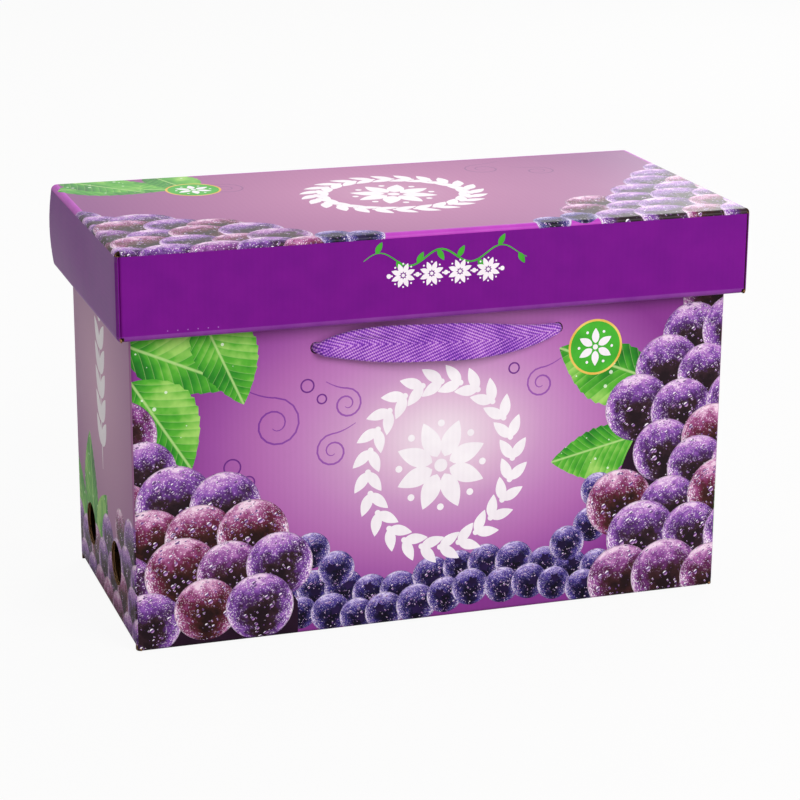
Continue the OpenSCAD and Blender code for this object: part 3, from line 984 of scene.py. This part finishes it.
def buildStrap(name, node, rear):
    stations, buckle = strapStations(), tape["buckle"]
    last, columns = len(stations) - 1, 48
    bm = bmesh.new()
    weaveMap = bm.loops.layers.uv.new("weave")
    rows, along, travelled = [], [], 0.0
    for i, (place, wide, gather) in enumerate(stations):
        travelled += (place - stations[max(i - 1, 0)][0]).length
        along.append(travelled)
        heading = (stations[min(i + 1, last)][0] - stations[max(i - 1, 0)][0]).normalized()
        wide = (wide - heading * wide.dot(heading)).normalized()
        off = heading.cross(wide)
        inside = place.y > board - base["depth"] / 2
        lift = gather ** 2 if inside else gather
        if not inside:   # the tape has slipped: its right half lies a little lower
            t = max(-1.0, min(1.0, place.x / (base["strapPitch"] / 2 - tape["bend"])))
            place = place - Vector((0, 0, (tape["slip"][0] + tape["slip"][1] * t) * (1 - t ** 4)))
        row = []
        for k in range(columns + 1):
            v = 2 * k / columns - 1
            across, out = rolled(v, gather, lift)
            out += 0.3 * noise.noise(Vector((travelled / 14, v * 1.5, 3.0))) * (1 - gather)
            if not inside:   # a buckle where the tape has been pulled askew
                out -= buckle["depth"] * math.exp(-((place.x - buckle["x"]) / buckle["reach"]) ** 2
                                                  - ((v - buckle["v"]) / buckle["spread"]) ** 2)
            row.append(bm.verts.new(settleBase((place + wide * across + off * out) * mm)))
        rows.append(row)
    for i in range(last):
        for k in range(columns):
            face = bm.faces.new((rows[i][k], rows[i + 1][k], rows[i + 1][k + 1], rows[i][k + 1]))
            for loop, (a, b) in zip(face.loops, ((i, k), (i + 1, k), (i + 1, k + 1), (i, k + 1))):
                loop[weaveMap].uv = (b / columns * tape["width"], along[a])
    if rear:
        bmesh.ops.rotate(bm, verts=bm.verts, cent=(0, 0, 0), matrix=Matrix.Rotation(math.pi, 3, "Z"))
    mesh = meshOf(bm, name, weave)
    mesh.shade_smooth()
    strap = newObject(name, mesh, "base")
    wall = strap.modifiers.new("thickness", "SOLIDIFY")
    wall.thickness = tape["thick"] * mm
    wall.offset = 0.0
    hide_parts(node)
    print(f"{name}: {travelled:.0f} mm long")


buildStrap("front_woven_strap", "front_strap", False)
buildStrap("rear_woven_strap", "rear_strap", True)
for end in ("front_left", "front_right", "rear_left", "rear_right"):
    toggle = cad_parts[end + "_toggle"]
    toggle.data.materials.clear()
    toggle.data.materials.append(polypropylene)
print("straps made")


# Studio: a pale floor, a white surround, and soft lamps above, before and behind the box
studio = {"surround": 0.42, "floor": "#cfcdcb", "floorShown": 0.93,
          "lamps": (("keyLamp", (0.9, -2.0, 1.5), 1.3, 44.0), ("topLamp", (0.0, 0.4, 2.5), 1.6, 16.0),
                    ("rearLamp", (1.5, 1.7, 1.3), 1.3, 20.0))}

bm = bmesh.new()
bmesh.ops.create_grid(bm, x_segments=1, y_segments=1, size=6.0, matrix=Matrix.Translation((0, 0, -0.3 * mm)))
floorMaterial, add, shader = newMaterial("matteFloor")
fill(shader, {"Base Color": linear(studio["floor"]), "Roughness": 0.9, "Specular IOR Level": 0.1})
shown = maths(add, "MULTIPLY", add("LightPath").outputs["Is Camera Ray"], studio["floorShown"])
white = add("Emission", {"Color": (1, 1, 1, 1), "Strength": 1.0})
both = add("MixShader", {0: shown, 1: shader, 2: white})
fill(shader.id_data.nodes["Material Output"], {"Surface": both})
studioFloor = bpy.data.objects.new("studioFloor", meshOf(bm, "studioFloor", floorMaterial))
scene.collection.objects.link(studioFloor)

world = bpy.data.worlds.new("studioWorld")
scene.world = world
world.use_nodes = True
world.node_tree.nodes.clear()
add = partial(addNode, world.node_tree)
path = add("LightPath")
seen = maths(add, "MAXIMUM", path.outputs["Is Camera Ray"], path.outputs["Is Glossy Ray"])
seen = maths(add, "MAXIMUM", seen, path.outputs["Is Transmission Ray"])
strength = ranged(add, seen, 0.0, 1.0, studio["surround"])
background = add("Background", {"Color": (1, 1, 1, 1), "Strength": strength})
add("OutputWorld", {"Surface": background})

for name, place, lampSize, power in studio["lamps"]:
    data = bpy.data.lights.new(name, "AREA")
    data.size = lampSize
    data.energy = power
    lamp = bpy.data.objects.new(name, data)
    lamp.location = place
    lamp.rotation_euler = (Vector((0, 0, 0.1)) - Vector(place)).to_track_quat("-Z", "Y").to_euler()
    scene.collection.objects.link(lamp)
scene.view_settings.view_transform = "Standard"
print("studio lit")
